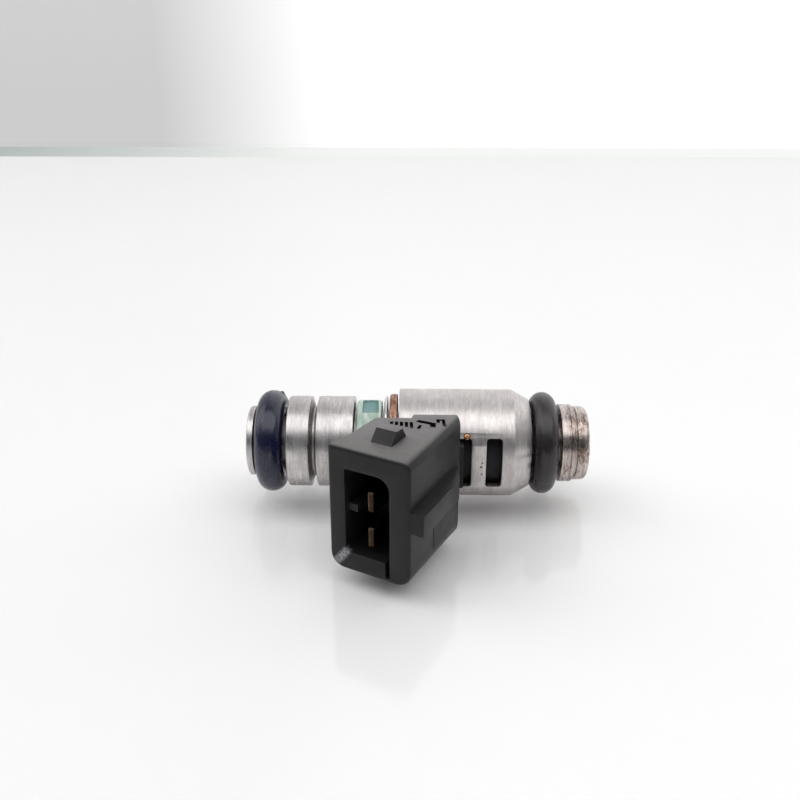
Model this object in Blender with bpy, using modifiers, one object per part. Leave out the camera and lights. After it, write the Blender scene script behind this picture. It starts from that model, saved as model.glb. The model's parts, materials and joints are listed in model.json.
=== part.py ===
"""Port fuel injector, lying on its side, built as the separate pieces that it comes apart into.

Lengths below are in millimetres along the injector's own axis: x runs from the fuel inlet to the
spray end and is 0 at the inlet edge of the steel can, r is a radius and z is a height over the axis.
MM turns them into the metres of the scene, where +X is the axis and +Z is up. The origin is under
the middle of the whole injector, on the surface that it lies on.
"""

import math

import bmesh
import bpy
from mathutils import Matrix, Vector

MM = 0.001
GAP = 0.3

# Length of the injector and the radii that seal and locate it.
INLET_END = -21.5
SPRAY_END = 26.65
CAN_R = 7.65
COLLAR_R = 6.5
FLANGE_R = 5.0
RING_GROOVE_R = 3.5
ORING_TUBE_R = 1.765
ORING_R = 5.53
INLET_ORING_X = -18.25
INLET_ORING_HALF = 1.95
NOZZLE_ORING_X = 20.45

# Inlet body.
FLANGE_T = 0.95
COLLAR_START = -15.75
CLIP_GROOVE_START = -12.6
CLIP_GROOVE_END = -11.5
CLIP_GROOVE_R = 5.0
COLLAR_END = -6.4
NECK_R = 4.3
NECK_END = 0.3
CORE_R = 3.6
CORE_STEP = 3.7
POLE_R = 2.6
POLE_FACE = 7.0
FILTER_BORE_R = 2.9
FILTER_BORE_END = -13.0
FUEL_BORE_R = 1.5

# Rings between the collar and the can.
MARKER_START = -6.0
MARKER_END = -2.5
MARKER_R = 5.95
MARKER_CHAMFER = 0.35
POCKET_X = (-5.2, -2.85)
POCKET_HALF = 2.3
POCKET_FLOOR = 5.25
RETAINER_START = -2.2
RETAINER_END = -1.7
RETAINER_R = 6.6
RETAINER_CHAMFER = (0.3, 0.6)
WASHER_START = -1.4
WASHER_END = -0.3
WASHER_R = 6.85
WASHER_ROUND = 0.45

# Steel can.
CAN_BORE_R = 6.65
CAN_TAPER_START = 15.95
CAN_END = 18.4
CAN_END_R = 6.27
CAN_FLOOR = 14.9
CAN_MOUTH_R = 5.3
WINDOW_Z = 3.7
WINDOW_A = (2.9, 10.07)
WINDOW_B = (12.05, 14.25)
WINDOW_CORNER = 0.45
STRIP_FLAT = 7.15
STRIP_HALF = 2.9
WIRE_END_X = 9.36
WIRE_END_ANGLE = 30.8
WIRE_R = 0.4

# Coil.
BOBBIN_BORE_R = 3.9
BOBBIN_TUBE_R = 4.4
BOBBIN_FLANGE_R = 5.65
BOBBIN = (1.2, 11.6)
BOBBIN_FLANGE_T = 0.7
WINDING_R = 5.4
OVERMOULD = (0.9, 14.55)
OVERMOULD_R = (5.95, 6.35)

# Nozzle body.
NOZZLE_TOP = 9.8
NOZZLE_R = 5.0
NOZZLE_SHOULDER = 13.2
ORING_SHOULDER = 22.7
TIP_R = 5.55
TIP_STEP = 24.5
TIP_END_R = 5.28
TIP_ROUND = 0.9
VALVE_BORE_R = 2.7

# Valve.
LIFT = 0.1
ARMATURE_CLEARANCE = 0.05
ARMATURE_END = 12.2
SPRING_SEAT = 9.5
NEEDLE = (10.8, 21.05)
NEEDLE_R = (0.55, 1.05)
BALL_X = 22.6
BALL_R = 1.3
SEAT_CLEARANCE = 0.03
GUIDE = (21.5, 22.55)
SEAT = (22.85, 24.6)
PLATE = (24.9, 25.15)
PLATE_RETAINER = (25.45, 26.2)
SPRING = (3.6, 9.2)
SPRING_WIRE_R = 0.2
SPRING_R = 1.03
SPRING_TURNS = 7
SLEEVE = (-4.0, 3.3)

# Connector, in its own frame: u to the right of its mouth, v into it, z up from the axis.
MOUTH_X = -3.45
MOUTH_Y = -23.2
MOUTH_ANGLE = 29.0
MOUTH_LEFT = -5.7
MOUTH_RIGHT = 5.93
SHELL_BOTTOM = -CAN_R
SHELL_TOP = 9.44
SHELL_BACK_Y = -12.7
SHELL_BACK_X = (-3.15, 1.75, 8.1)
SHELL_PAD_Y = -11.6
SHELL_PAD_X = (1.85, 7.6)
SHELL_RIGHT_BEND = (5.63, 6.6)
SHELL_LEFT_BEND = (-5.05, 4.0)
SHELL_LOWER_ROUND = 2.0
SHELL_UPPER_ROUND = 1.2
SOCKET_U = (-3.25, 3.1)
SOCKET_Z = (-4.9, 6.7)
SOCKET_DEPTH = 8.0
SOCKET_CORNER = 0.35
SOCKET_LARGE_CORNER = 1.7
KEY_W = 1.3
KEY_Z = (0.6, 1.6)
KEY_FRONT = 0.9
RIM_GROOVE_U = (2.5, 3.1)
RIM_GROOVE_Z = (-7.0, -4.5)
RIM_GROOVE_DEPTH = 0.9
BLADE_PITCH = 5.0
BLADE_W = 2.8
BLADE_T = 0.8
BLADE_TIP = 0.55
BLADE_ROOT = 9.9
BLADE_CHAMFER = (0.4, 0.25)
NECK_X = (3.5, 7.4)
NECK_PAD_X = (3.5, 8.9)
NECK_Z = (-3.15, 3.15)
RAMP_U = (-1.3, 1.6)
RAMP_V = (3.05, 6.7)
RAMP_CREST_V = (4.4, 5.8)
RAMP_TOP = 10.9
RIB_Z = (0.15, 2.95)
RIB_FRONT = 0.25
RIB_RIGHT = 7.7
RIB_RIGHT_BEND = (7.1, 10.7)
RIB_BACK = (7.95, -13.1)

ROUND = 40
SMALL_ROUND = 28

PARTS = "fuel_injector"
CUTTERS = "cutters"


def clear_scene():
    for obj in list(bpy.data.objects):
        bpy.data.objects.remove(obj)
    for name in (PARTS, CUTTERS):
        bpy.context.scene.collection.children.link(bpy.data.collections.new(name))


def material(name, colour, roughness, metallic):
    made = bpy.data.materials.new(name)
    made.use_nodes = True
    shader = made.node_tree.nodes["Principled BSDF"]
    shader.inputs["Base Color"].default_value = (*colour, 1.0)
    shader.inputs["Roughness"].default_value = roughness
    shader.inputs["Metallic"].default_value = metallic
    return made


def add(name, mesh, parent, finish=None):
    """Puts a mesh in the scene under its parent, as a part if it has a finish and as a cutter if not."""
    obj = bpy.data.objects.new(name, mesh)
    bpy.data.collections[PARTS if finish else CUTTERS].objects.link(obj)
    obj.parent = parent
    if finish:
        mesh.materials.append(finish)
    else:
        obj.hide_render = True
        obj.display_type = "WIRE"
    return obj


def empty(name, location, turn_about_z=0.0):
    obj = bpy.data.objects.new(name, None)
    bpy.data.collections[PARTS].objects.link(obj)
    obj.location = location
    obj.rotation_euler = (0, 0, turn_about_z)
    return obj


def arc(x, r, radius, start, end, steps):
    """Points of a round corner about (x, r), at angles from +x towards +r, in degrees."""
    angles = [math.radians(start + (end - start) * i / steps) for i in range(steps + 1)]
    return [(x + radius * math.cos(a), r + radius * math.sin(a)) for a in angles]


def turned(name, outline, parent, finish=None, steps=ROUND):
    """A shape turned about the injector's axis from its outline of (x, r) points.

    An outline that starts and ends on the axis stays open there, and any other is closed.
    """
    solid = outline[0][1] == 0 and outline[-1][1] == 0
    pairs = list(zip(outline, outline[1:] + outline[:1]))
    area = sum(x1 * r2 - x2 * r1 for (x1, r1), (x2, r2) in pairs)
    if area < 0:
        outline = outline[::-1]
    points = [(r * MM, 0, x * MM) for x, r in outline]
    edges = [(i, i + 1) for i in range(len(points) - 1)]
    if not solid:
        edges.append((len(points) - 1, 0))
    mesh = bpy.data.meshes.new(name)
    mesh.from_pydata(points, edges, [])
    obj = add(name, mesh, parent, finish)
    obj.rotation_euler = (0, math.pi / 2, 0)
    screw = obj.modifiers.new("turn", "SCREW")
    screw.axis = "Z"
    screw.steps = steps
    screw.render_steps = steps
    screw.use_merge_vertices = True
    screw.merge_threshold = 0.00001
    return obj


def tube(name, span, radii, parent, finish=None, steps=ROUND, chamfer=0.0):
    """A ring from x to x and from bore radius to outer radius, with chamfered outer edges."""
    (x0, x1), (bore, outer) = span, radii
    outline = [(x0, bore), (x0, outer - chamfer), (x0 + chamfer, outer)]
    outline += [(x1 - chamfer, outer), (x1, outer - chamfer), (x1, bore)]
    if chamfer == 0:
        outline = [(x0, bore), (x0, outer), (x1, outer), (x1, bore)]
    return turned(name, outline, parent, finish, steps)


def box(name, low, high, parent, finish=None, rounding=()):
    """A box between two corners. Each rounding is a radius and a test that picks its edges."""
    low, high = Vector(low) * MM, Vector(high) * MM
    bm = bmesh.new()
    bmesh.ops.create_cube(bm, size=1.0)
    size = high - low
    bmesh.ops.scale(bm, vec=size, verts=bm.verts)
    bmesh.ops.translate(bm, vec=(low + high) / 2, verts=bm.verts)
    for width, chosen in rounding:
        round_edges(bm, width, chosen)
    return add(name, to_mesh(name, bm), parent, finish)


def round_edges(bm, width, chosen):
    edges = [edge for edge in bm.edges if chosen(edge)]
    bmesh.ops.bevel(
        bm,
        geom=edges,
        offset=width * MM,
        offset_type="OFFSET",
        segments=3,
        profile=0.5,
        affect="EDGES",
        clamp_overlap=True,
    )


def to_mesh(name, bm):
    bmesh.ops.recalc_face_normals(bm, faces=bm.faces)
    mesh = bpy.data.meshes.new(name)
    bm.to_mesh(mesh)
    bm.free()
    return mesh


def prism(name, outline, low, high, parent, finish=None, lying=False, rounding=()):
    """A flat outline given thickness from low to high, upright along z or, lying, along u."""
    curve = bpy.data.curves.new(name, "CURVE")
    curve.dimensions = "2D"
    curve.fill_mode = "BOTH"
    curve.extrude = (high - low) / 2 * MM
    spline = curve.splines.new("POLY")
    spline.points.add(len(outline) - 1)
    spline.use_cyclic_u = True
    for point, (a, b) in zip(spline.points, outline):
        point.co = (a * MM, b * MM, 0, 1)
    guide = bpy.data.objects.new(name + "_outline", curve)
    bpy.context.scene.collection.objects.link(guide)
    graph = bpy.context.evaluated_depsgraph_get()
    mesh = bpy.data.meshes.new_from_object(guide.evaluated_get(graph))
    bpy.data.objects.remove(guide)
    bm = bmesh.new()
    bm.from_mesh(mesh)
    bmesh.ops.remove_doubles(bm, verts=bm.verts, dist=1e-6)
    bmesh.ops.dissolve_limit(bm, angle_limit=0.01, verts=bm.verts, edges=bm.edges)
    bmesh.ops.translate(bm, vec=(0, 0, (low + high) / 2 * MM), verts=bm.verts)
    if lying:
        upright = Matrix(((0, 0, 1, 0), (1, 0, 0, 0), (0, 1, 0, 0), (0, 0, 0, 1)))
        bmesh.ops.transform(bm, matrix=upright, verts=bm.verts)
    for width, chosen in rounding:
        round_edges(bm, width, chosen)
    bpy.data.meshes.remove(mesh)
    return add(name, to_mesh(name, bm), parent, finish)


def pin(name, radius, length, matrix, parent, finish=None, sides=12):
    """A cylinder along the matrix's own Z."""
    bm = bmesh.new()
    bmesh.ops.create_cone(
        bm,
        cap_ends=True,
        segments=sides,
        radius1=radius * MM,
        radius2=radius * MM,
        depth=length * MM,
        matrix=matrix,
    )
    return add(name, to_mesh(name, bm), parent, finish)


def boolean(obj, other, operation):
    modifier = obj.modifiers.new(other.name, "BOOLEAN")
    modifier.operation = operation
    modifier.object = other
    modifier.solver = "EXACT"


def cut(obj, *cutters):
    for cutter in cutters:
        boolean(obj, cutter, "DIFFERENCE")


def join(obj, *pieces):
    for piece in pieces:
        boolean(obj, piece, "UNION")


def radial(x, radius, angle):
    """A frame at that radius whose Z points away from the axis, angle degrees over the -Y side."""
    turn = math.radians(angle)
    out = Vector((0, -math.cos(turn), math.sin(turn)))
    place = Matrix.Translation((x * MM, out.y * radius * MM, out.z * radius * MM))
    return place @ out.to_track_quat("Z", "Y").to_matrix().to_4x4()


def sealing_ring(name, x, half_width, axis, finish):
    """An O-ring around x, with its section seated on a flat where it meets the groove's floor."""
    section = arc(0, 0, 1, 0, 330, 11)
    outline = [(x + half_width * a, ORING_R + ORING_TUBE_R * b) for a, b in section]
    turned(name, outline, axis, finish)


def inlet_parts(axis, finish):
    groove_slope = 0.4
    flange_end = INLET_END + FLANGE_T
    body = arc(INLET_END + 0.35, FLANGE_R - 0.35, 0.35, 180, 90, 3)
    body = [(INLET_END, FILTER_BORE_R), *body]
    body += [(flange_end, FLANGE_R), (flange_end, RING_GROOVE_R)]
    body += [(COLLAR_START, RING_GROOVE_R), (COLLAR_START, COLLAR_R - 0.3)]
    body += [(COLLAR_START + 0.3, COLLAR_R), (CLIP_GROOVE_START, COLLAR_R)]
    body += [(CLIP_GROOVE_START + groove_slope, CLIP_GROOVE_R)]
    body += [(CLIP_GROOVE_END - groove_slope, CLIP_GROOVE_R)]
    body += [(CLIP_GROOVE_END, COLLAR_R), (COLLAR_END, COLLAR_R), (COLLAR_END, NECK_R)]
    body += [(NECK_END, NECK_R), (NECK_END, CORE_R), (CORE_STEP, CORE_R), (CORE_STEP, POLE_R)]
    body += [(POLE_FACE, POLE_R), (POLE_FACE, FUEL_BORE_R), (FILTER_BORE_END, FUEL_BORE_R)]
    body += [(FILTER_BORE_END, FILTER_BORE_R)]
    turned("inlet_body", body, axis, finish["steel"])

    outer = FILTER_BORE_R - GAP
    inner = outer - 0.4
    start = INLET_END + 0.25
    end = FILTER_BORE_END - 0.4
    cage = [(start, inner), (start, outer), (end, outer), (end, 0)]
    cage += [(end - 0.8, 0), (end - 0.8, inner)]
    frame = turned("inlet_filter_frame", cage, axis, finish["filter_frame"], SMALL_ROUND)
    frame_windows = [
        ("filter_window_level", (1.6, 4.0)),
        ("filter_window_upright", (4.0, 1.6)),
    ]
    for name, (y, z) in frame_windows:
        cut(frame, box(name, (start + 1.1, -y, -z), (end - 1.5, y, z), axis))

    mesh_r = inner - GAP
    mesh_end = end - 0.8 - GAP
    cup = [(start + 0.3, mesh_r - 0.2), (start + 0.3, mesh_r), (mesh_end, mesh_r), (mesh_end, 0)]
    cup += [(mesh_end - 0.2, 0), (mesh_end - 0.2, mesh_r - 0.2)]
    turned("inlet_filter_mesh", cup, axis, finish["filter_mesh"], SMALL_ROUND)

    sealing_ring("inlet_oring", INLET_ORING_X, INLET_ORING_HALF, axis, finish["blue_rubber"])

    span = SLEEVE
    sleeve = tube("adjusting_sleeve", span, (0.8, 1.22), axis, finish["steel"], SMALL_ROUND)
    slot = box("sleeve_slot", (span[0] - 1, -0.25, 0.3), (span[1] + 1, 0.25, 2.0), axis)
    cut(sleeve, slot)


def ring_parts(axis, finish):
    bore = NECK_R + GAP
    span = (MARKER_START, MARKER_END)
    radii = (bore, MARKER_R)
    marker = tube("marker_ring", span, radii, axis, finish["mint"], chamfer=MARKER_CHAMFER)
    low = (POCKET_X[0], -POCKET_HALF, POCKET_FLOOR)
    high = (POCKET_X[1], POCKET_HALF, MARKER_R + 1)
    cut(marker, box("marker_pocket", low, high, axis))

    start, end = RETAINER_START, RETAINER_END
    along, down = RETAINER_CHAMFER
    outline = [(start, bore), (start, RETAINER_R - down), (start + along, RETAINER_R)]
    outline += [(end, RETAINER_R), (end, bore)]
    turned("retaining_ring", outline, axis, finish["steel"])

    start, end = WASHER_START, WASHER_END
    shoulder = arc(start + WASHER_ROUND, WASHER_R - WASHER_ROUND, WASHER_ROUND, 180, 90, 3)
    outline = [(start, bore), *shoulder, (end, WASHER_R), (end, bore)]
    turned("flux_washer", outline, axis, finish["copper_plate"])


def can_parts(axis, finish):
    can = [(0, CAN_BORE_R), (0, CAN_R - 0.15), (0.15, CAN_R), (CAN_TAPER_START, CAN_R)]
    can += [(CAN_END, CAN_END_R), (CAN_END, CAN_MOUTH_R), (CAN_FLOOR, CAN_MOUTH_R)]
    can += [(CAN_FLOOR, CAN_BORE_R)]
    shell = turned("outer_can", can, axis, finish["steel"], 48)
    for name, (start, end) in (("window_a", WINDOW_A), ("window_b", WINDOW_B)):
        low = (start, -9.0, -WINDOW_Z)
        high = (end, -5.0, WINDOW_Z)
        cut(shell, box(name, low, high, axis, rounding=[(WINDOW_CORNER, runs_deep)]))
    low = (WINDOW_A[1] - 0.3, -9.0, -STRIP_HALF)
    high = (WINDOW_B[0] + 0.3, -STRIP_FLAT, STRIP_HALF)
    cut(shell, box("strip_flat", low, high, axis))
    notch = radial(WIRE_END_X, CAN_R, WIRE_END_ANGLE)
    cut(shell, pin("wire_notch", WIRE_R + 0.25, 3.0, notch, axis))

    wire_low = OVERMOULD_R[1] + GAP
    wire_high = CAN_R + 0.15
    place = radial(WIRE_END_X, (wire_low + wire_high) / 2, WIRE_END_ANGLE)
    pin("coil_wire_end", WIRE_R, wire_high - wire_low, place, axis, finish["copper"])


def coil_parts(axis, finish):
    start, end = BOBBIN
    spool = [(start, BOBBIN_BORE_R), (start, BOBBIN_FLANGE_R)]
    spool += [(start + BOBBIN_FLANGE_T, BOBBIN_FLANGE_R), (start + BOBBIN_FLANGE_T, BOBBIN_TUBE_R)]
    spool += [(end - BOBBIN_FLANGE_T, BOBBIN_TUBE_R), (end - BOBBIN_FLANGE_T, BOBBIN_FLANGE_R)]
    spool += [(end, BOBBIN_FLANGE_R), (end, BOBBIN_BORE_R)]
    turned("coil_bobbin", spool, axis, finish["bobbin"], SMALL_ROUND)
    span = (start + BOBBIN_FLANGE_T + GAP, end - BOBBIN_FLANGE_T - GAP)
    radii = (BOBBIN_TUBE_R + GAP, WINDING_R)
    tube("coil_winding", span, radii, axis, finish["copper"], SMALL_ROUND)
    tube("coil_overmould", OVERMOULD, OVERMOULD_R, axis, finish["black_plastic"])
    radii = (VALVE_BORE_R + 0.2, CORE_R)
    tube("spacer_ring", (CORE_STEP + GAP, NOZZLE_TOP - GAP), radii, axis, finish["dull_steel"], SMALL_ROUND)


def nozzle_parts(axis, finish):
    bore = VALVE_BORE_R + 0.2
    can_gap = CAN_MOUTH_R - GAP
    tip = [(NOZZLE_TOP, bore), (NOZZLE_TOP, CORE_R), (NOZZLE_SHOULDER, CORE_R)]
    tip += [(NOZZLE_SHOULDER, can_gap), (CAN_END, can_gap), (CAN_END, RING_GROOVE_R)]
    tip += [(ORING_SHOULDER, RING_GROOVE_R), (ORING_SHOULDER, TIP_R), (TIP_STEP, TIP_R)]
    tip += [(TIP_STEP + 0.35, TIP_END_R)]
    tip += arc(SPRAY_END - TIP_ROUND, TIP_END_R - TIP_ROUND, TIP_ROUND, 90, 0, 4)
    tip += [(SPRAY_END, VALVE_BORE_R), (NOZZLE_SHOULDER, VALVE_BORE_R), (NOZZLE_SHOULDER, bore)]
    turned("nozzle_body", tip, axis, finish["stained_steel"])

    sealing_ring("nozzle_oring", NOZZLE_ORING_X, ORING_TUBE_R, axis, finish["black_rubber"])

    outer = VALVE_BORE_R - GAP
    cone_r = BALL_R + GAP
    slope_start = BALL_X + (BALL_R + SEAT_CLEARANCE) * math.sqrt(2) - cone_r
    hole_r = 0.45
    seat = [(SEAT[0], cone_r), (SEAT[0], outer), (SEAT[1], outer), (SEAT[1], hole_r)]
    seat += [(slope_start + cone_r - hole_r, hole_r), (slope_start, cone_r)]
    turned("valve_seat", seat, axis, finish["dull_steel"], SMALL_ROUND)

    guide = tube("ball_guide", GUIDE, (cone_r, outer), axis, finish["dull_steel"], SMALL_ROUND)
    notches = [("guide_notch_level", (2.0, 0.4)), ("guide_notch_upright", (0.4, 2.0))]
    for name, (y, z) in notches:
        cut(guide, box(name, (GUIDE[0] - 1, -y, -z), (GUIDE[1] + 1, y, z), axis))

    plate = turned(
        "orifice_plate",
        [(PLATE[0], 0), (PLATE[0], outer), (PLATE[1], outer), (PLATE[1], 0)],
        axis,
        finish["dull_steel"],
        SMALL_ROUND,
    )
    upright = Matrix.Rotation(math.pi / 2, 4, "Y")
    for i in range(4):
        turn = math.radians(45 + 90 * i)
        middle = (PLATE[0] * MM, 0.8 * MM * math.cos(turn), 0.8 * MM * math.sin(turn))
        hole = pin(f"spray_hole_{i + 1}", 0.13, 2.0, Matrix.Translation(middle) @ upright, axis, sides=8)
        cut(plate, hole)
    tube("plate_retainer", PLATE_RETAINER, (1.5, outer), axis, finish["dull_steel"], SMALL_ROUND)


def moving_parts(axis, finish):
    start = POLE_FACE + LIFT + ARMATURE_CLEARANCE
    needle_bore = NEEDLE_R[1] + GAP
    body = [(start, FUEL_BORE_R), (start, POLE_R), (ARMATURE_END, POLE_R)]
    body += [(ARMATURE_END, needle_bore), (NEEDLE[0] - GAP, needle_bore), (NEEDLE[0] - GAP, 0.7)]
    body += [(SPRING_SEAT, 0.7), (SPRING_SEAT, FUEL_BORE_R)]
    turned("armature", body, axis, finish["dull_steel"], SMALL_ROUND)

    needle = tube("valve_needle", NEEDLE, NEEDLE_R, axis, finish["dull_steel"], 20)
    across = Matrix.Translation((14.0 * MM, 0, 0)) @ Matrix.Rotation(math.pi / 2, 4, "X")
    cut(needle, pin("needle_fuel_hole", 0.35, 4.0, across, axis, sides=10))

    bm = bmesh.new()
    place = Matrix.Translation((BALL_X * MM, 0, 0)) @ Matrix.Rotation(math.pi / 2, 4, "Y")
    bmesh.ops.create_uvsphere(bm, u_segments=20, v_segments=12, radius=BALL_R * MM, matrix=place)
    add("valve_ball", to_mesh("valve_ball", bm), axis, finish["ball"])


def spring(axis, finish):
    """A closed-end helix about the axis, as a wire of constant thickness."""
    per_turn = 12
    count = SPRING_TURNS * per_turn
    start = SPRING[0] + SPRING_WIRE_R
    end = SPRING[1] - SPRING_WIRE_R
    curve = bpy.data.curves.new("return_spring", "CURVE")
    curve.dimensions = "3D"
    curve.bevel_depth = SPRING_WIRE_R * MM
    curve.bevel_resolution = 2
    curve.use_fill_caps = True
    spline = curve.splines.new("POLY")
    spline.points.add(count)
    for i, point in enumerate(spline.points):
        turn = 2 * math.pi * i / per_turn
        x = start + (end - start) * i / count
        point.co = (x * MM, SPRING_R * MM * math.cos(turn), SPRING_R * MM * math.sin(turn), 1)
    curve.materials.append(finish["spring"])
    obj = bpy.data.objects.new("return_spring", curve)
    bpy.data.collections[PARTS].objects.link(obj)
    obj.parent = axis


def in_mouth(x, y):
    """(u, v) in the connector's frame of a point (x, y) beside the injector's axis."""
    turn = math.radians(MOUTH_ANGLE)
    u = (x - MOUTH_X) * math.cos(turn) - (y - MOUTH_Y) * math.sin(turn)
    v = (x - MOUTH_X) * math.sin(turn) + (y - MOUTH_Y) * math.cos(turn)
    return u, v


def housing(mouth, finish):
    """The connector: a drafted shell with its socket, latch ramp, side rib and neck to the can."""
    back_left, back_middle, back_right = SHELL_BACK_X
    pad_left, pad_right = SHELL_PAD_X
    outline = [(MOUTH_LEFT, 0), (MOUTH_RIGHT, 0), SHELL_RIGHT_BEND]
    outline += [in_mouth(back_right, SHELL_BACK_Y), in_mouth(pad_right, SHELL_PAD_Y)]
    outline += [in_mouth(pad_left, SHELL_PAD_Y), in_mouth(back_middle, SHELL_BACK_Y)]
    outline += [in_mouth(back_left, SHELL_BACK_Y), SHELL_LEFT_BEND]

    def lower_edge(edge):
        return edge_at(edge, SHELL_BOTTOM) and runs_deep(edge)

    def upper_right_edge(edge):
        return edge_at(edge, SHELL_TOP) and runs_deep(edge) and middle_of(edge).x > 4.0 * MM

    def large_corner(edge):
        middle = middle_of(edge)
        return runs_deep(edge) and middle.x > 0 and middle.z > 0

    def small_corner(edge):
        return runs_deep(edge) and not large_corner(edge)

    rounding = ((SHELL_LOWER_ROUND, lower_edge), (SHELL_UPPER_ROUND, upper_right_edge))
    shell = prism(
        "connector_housing",
        outline,
        SHELL_BOTTOM,
        SHELL_TOP,
        mouth,
        finish["black_plastic"],
        rounding=rounding,
    )

    ramp_root = SHELL_TOP - 0.4
    (front, back), (crest_front, crest_back) = RAMP_V, RAMP_CREST_V
    ramp_outline = [(front, ramp_root), (front, SHELL_TOP), (crest_front, RAMP_TOP)]
    ramp_outline += [(crest_back, RAMP_TOP), (back, SHELL_TOP), (back, ramp_root)]
    ramp = prism("latch_ramp", ramp_outline, *RAMP_U, mouth, lying=True)
    rib_root = 4.0
    rib_outline = [(rib_root, RIB_FRONT), (RIB_RIGHT, RIB_FRONT), RIB_RIGHT_BEND]
    rib_outline += [in_mouth(*RIB_BACK), (rib_root, 12.0)]
    rib = prism("side_rib", rib_outline, *RIB_Z, mouth)
    join(shell, ramp, rib)

    socket = box(
        "socket",
        (SOCKET_U[0], -2.0, SOCKET_Z[0]),
        (SOCKET_U[1], SOCKET_DEPTH, SOCKET_Z[1]),
        mouth,
        rounding=((SOCKET_LARGE_CORNER, large_corner), (SOCKET_CORNER, small_corner)),
    )
    groove_low = (RIM_GROOVE_U[0], -2.0, RIM_GROOVE_Z[0])
    groove_high = (RIM_GROOVE_U[1], RIM_GROOVE_DEPTH, RIM_GROOVE_Z[1])
    cut(shell, socket, box("rim_groove", groove_low, groove_high, mouth))
    key_low = (SOCKET_U[0] - 0.6, KEY_FRONT, KEY_Z[0])
    key_high = (SOCKET_U[0] + KEY_W, SOCKET_DEPTH + 0.6, KEY_Z[1])
    join(shell, box("socket_key", key_low, key_high, mouth))
    return shell


def edge_at(edge, height):
    return all(abs(vert.co.z - height * MM) < 1e-6 for vert in edge.verts)


def middle_of(edge):
    return (edge.verts[0].co + edge.verts[1].co) / 2


def runs_deep(edge):
    """True for an edge that runs mostly along y."""
    run = (edge.verts[1].co - edge.verts[0].co).normalized()
    return abs(run.y) > 0.75


def connector_parts(axis, mouth, finish):
    shell = housing(mouth, finish)
    neck_low = (NECK_X[0], -14.0, NECK_Z[0])
    neck_high = (NECK_X[1], -7.5, NECK_Z[1])
    pad_low = (NECK_PAD_X[0], -8.2, NECK_Z[0])
    pad_high = (NECK_PAD_X[1], -(OVERMOULD_R[1] + GAP), NECK_Z[1])
    join(shell, box("neck", neck_low, neck_high, axis), box("neck_pad", pad_low, pad_high, axis))
    for name, side in (("upper", 1), ("lower", -1)):
        middle = side * BLADE_PITCH / 2
        half_t = BLADE_T / 2
        half_w = BLADE_W / 2
        slot_low = (-half_t - GAP, SOCKET_DEPTH - 1, middle - half_w - GAP)
        slot_high = (half_t + GAP, BLADE_ROOT + GAP, middle + half_w + GAP)
        cut(shell, box(f"blade_slot_{name}", slot_low, slot_high, mouth))
        deep, across = BLADE_CHAMFER
        outline = [(BLADE_TIP, middle - half_w + across), (BLADE_TIP, middle + half_w - across)]
        outline += [(BLADE_TIP + deep, middle + half_w), (BLADE_ROOT, middle + half_w)]
        outline += [(BLADE_ROOT, middle - half_w), (BLADE_TIP + deep, middle - half_w)]
        prism(f"terminal_blade_{name}", outline, -half_t, half_t, mouth, finish["brass"], lying=True)


def bake(obj, graph):
    """Replaces an object's modifiers by the mesh that they make, with sharp corners kept sharp."""
    mesh = bpy.data.meshes.new_from_object(obj.evaluated_get(graph))
    obj.modifiers.clear()
    obj.data = mesh
    mesh.shade_smooth()
    mesh.set_sharp_from_angle(angle=math.radians(35))


def main():
    clear_scene()
    finish = {
        "steel": material("brushed_steel", (0.62, 0.60, 0.59), 0.32, 1.0),
        "dull_steel": material("ground_steel", (0.50, 0.50, 0.50), 0.45, 1.0),
        "stained_steel": material("stained_steel", (0.55, 0.50, 0.45), 0.35, 1.0),
        "copper_plate": material("copper_plate", (0.55, 0.30, 0.20), 0.45, 1.0),
        "copper": material("enamelled_copper", (0.72, 0.36, 0.20), 0.35, 1.0),
        "brass": material("terminal_brass", (0.70, 0.52, 0.32), 0.30, 1.0),
        "mint": material("mint_plastic", (0.50, 0.66, 0.58), 0.40, 0.0),
        "blue_rubber": material("blue_rubber", (0.03, 0.035, 0.075), 0.40, 0.0),
        "black_rubber": material("black_rubber", (0.02, 0.02, 0.022), 0.45, 0.0),
        "black_plastic": material("black_plastic", (0.035, 0.035, 0.036), 0.45, 0.0),
        "bobbin": material("bobbin_plastic", (0.12, 0.12, 0.11), 0.50, 0.0),
        "filter_frame": material("filter_plastic", (0.60, 0.56, 0.42), 0.50, 0.0),
        "filter_mesh": material("filter_mesh", (0.70, 0.70, 0.66), 0.60, 0.0),
        "spring": material("spring_steel", (0.45, 0.45, 0.46), 0.30, 1.0),
        "ball": material("ball_steel", (0.70, 0.70, 0.71), 0.12, 1.0),
    }
    rib_corner = MOUTH_Y - RIB_RIGHT * math.sin(math.radians(MOUTH_ANGLE))
    rib_corner += RIB_FRONT * math.cos(math.radians(MOUTH_ANGLE))
    middle_x = (INLET_END + SPRAY_END) / 2
    middle_y = (rib_corner + CAN_R) / 2
    axis_place = Vector((-middle_x, -middle_y, CAN_R)) * MM
    axis = empty("injector_axis", axis_place)
    plunger_axis = empty("plunger_axis", axis_place)
    mouth_offset = Vector((MOUTH_X, MOUTH_Y, 0)) * MM
    mouth = empty("connector_mouth", axis_place + mouth_offset, -math.radians(MOUTH_ANGLE))

    inlet_parts(axis, finish)
    ring_parts(axis, finish)
    can_parts(axis, finish)
    coil_parts(axis, finish)
    nozzle_parts(axis, finish)
    moving_parts(plunger_axis, finish)
    spring(axis, finish)
    connector_parts(axis, mouth, finish)

    bpy.context.view_layer.update()
    graph = bpy.context.evaluated_depsgraph_get()
    for obj in bpy.data.collections[PARTS].objects:
        if obj.type == "MESH":
            bake(obj, graph)


main()
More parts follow.
